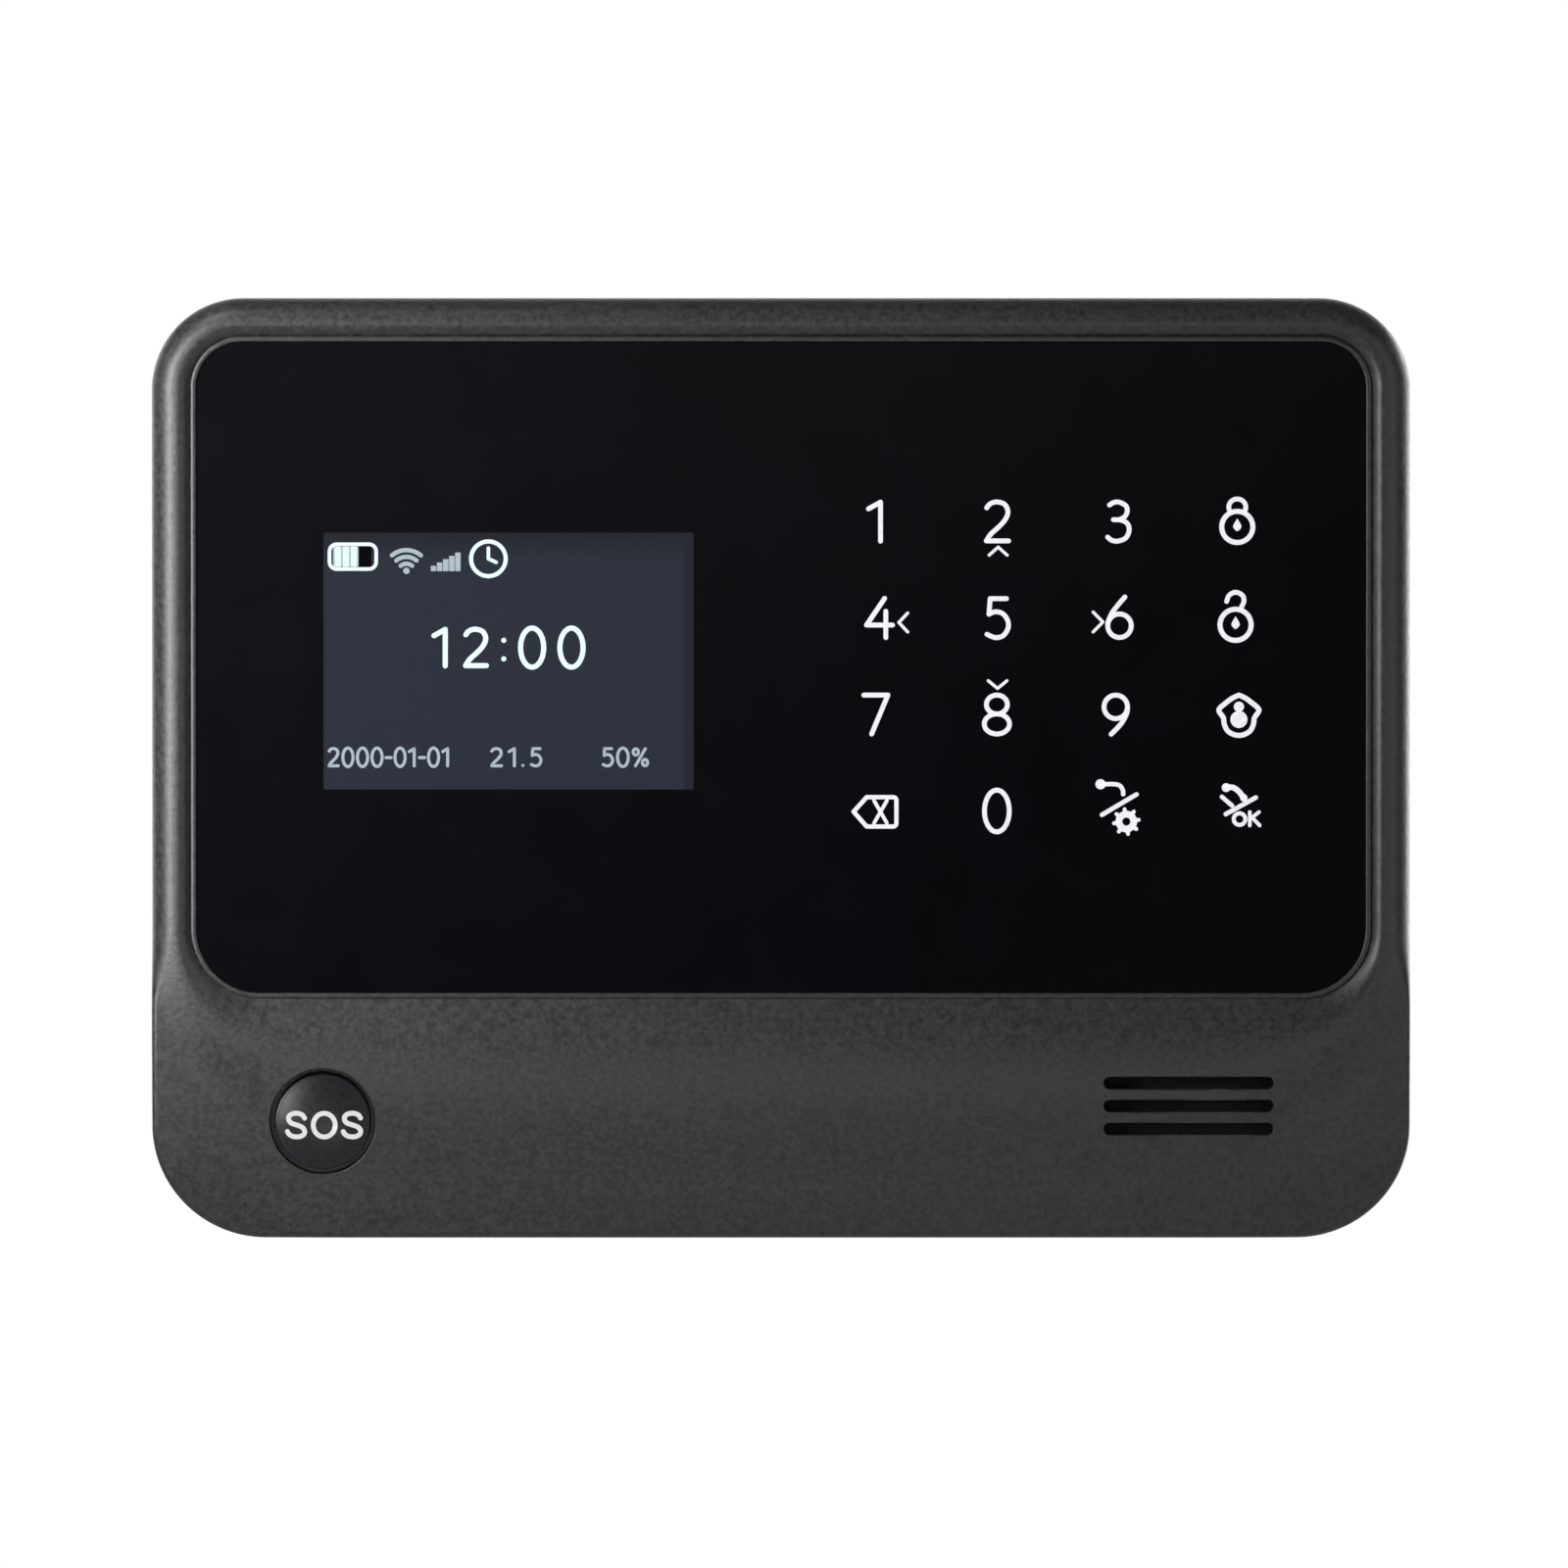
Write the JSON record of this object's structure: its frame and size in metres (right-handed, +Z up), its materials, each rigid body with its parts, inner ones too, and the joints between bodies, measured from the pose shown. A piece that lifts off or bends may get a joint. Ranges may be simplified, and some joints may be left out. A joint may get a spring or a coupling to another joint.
{
  "type": "alarm keypad panel",
  "caption": "Wall-mounted alarm control panel with a gloss touch lens, small display, touch keys, a round push button and speaker slots, on a hook-on wall bracket.",
  "frame": {"origin": "centre of the wall bracket's screw pattern, on its back face against the wall", "axes": "+Z up, +X to the right as seen from the front, +Y into the wall, so the panel's front faces -Y"},
  "size_m": [0.1783, 0.024, 0.133],
  "materials": {
    "housing_plastic": "fine-textured dark grey moulded plastic",
    "bracket_plastic": "satin dark grey moulded plastic",
    "lens_black": "gloss black touch lens",
    "button_black": "gloss black moulded button",
    "slide_black": "satin black moulded plastic",
    "switch_black": "black moulded plastic",
    "screw_steel": "zinc-plated steel",
    "adhesive_black": "black foam tape",
    "screen_glass": "display glass over a dark screen",
    "sheet_steel": "plated sheet steel",
    "foam_grey": "grey foam",
    "flex_amber": "amber film flex cable",
    "board_green": "green circuit board",
    "pad_brass": "gold-plated copper",
    "guide_white": "milky white light guide",
    "chip_black": "black chip package",
    "plug_white": "cream nylon connector",
    "module_blue": "blue circuit board",
    "can_alu": "aluminium can",
    "pouch_silver": "silver laminate pouch",
    "lead_red": "red insulated leads",
    "speaker_steel": "dark painted steel",
    "paper_black": "black cone paper",
    "mesh_black": "black dust mesh",
    "plunger_white": "white moulded plastic"
  },
  "bodies": {
    "bracket": {"wall_bracket": "bracket_plastic"},
    "panel": {"front_housing": "housing_plastic", "rear_housing": "housing_plastic", "housing_screws": "screw_steel", "touch_lens": "lens_black", "lens_adhesive": "adhesive_black", "display_gasket": "adhesive_black", "display_glass": "screen_glass", "display_frame": "sheet_steel", "display_pads": "foam_grey", "display_flex": "flex_amber", "touch_board": "board_green", "key_electrodes": "pad_brass", "key_light_guide": "guide_white", "key_leds": "plunger_white", "touch_controller": "chip_black", "board_link": "plug_white", "main_board": "board_green", "board_screws": "screw_steel", "processor_chip": "chip_black", "gsm_module": "sheet_steel", "gsm_antenna": "pad_brass", "wifi_module": "sheet_steel", "radio_receiver": "module_blue", "receiver_antenna": "pad_brass", "sim_socket": "sheet_steel", "usb_socket": "sheet_steel", "siren_jack": "switch_black", "board_capacitors": "can_alu", "battery_pack": "pouch_silver", "battery_pad": "foam_grey", "battery_connector": "plug_white", "battery_leads": "lead_red", "speaker_frame": "speaker_steel", "speaker_cone": "paper_black", "speaker_magnet": "sheet_steel", "speaker_mesh": "mesh_black", "speaker_screws": "screw_steel", "speaker_leads": "lead_red", "speaker_connector": "plug_white", "sos_switch": "switch_black", "power_switch": "sheet_steel", "tamper_switch": "switch_black", "tamper_spring": "screw_steel"},
    "sos_key": {"sos_button": "button_black"},
    "power_slide": {"power_slide": "slide_black", "power_lever": "plunger_white"},
    "tamper": {"tamper_plunger": "plunger_white"}
  },
  "joints": [
    {"name": "panel_lift", "type": "slide", "parent": "bracket", "child": "panel", "axis": [0, 0, 1], "range_m": [0, 0.006]},
    {"name": "sos_press", "type": "slide", "parent": "panel", "child": "sos_key", "axis": [0, 1, 0], "range_m": [0, 0.0008], "stiffness_N_per_m": 1500, "springref_m": -0.0002},
    {"name": "power_slide_travel", "type": "slide", "parent": "panel", "child": "power_slide", "axis": [0, 0, 1], "range_m": [0, 0.0025]},
    {"name": "tamper_press", "type": "slide", "parent": "panel", "child": "tamper", "axis": [0, -1, 0], "range_m": [0, 0.0012], "stiffness_N_per_m": 300, "springref_m": -0.0005, "deforming": ["tamper_spring"]}
  ]
}
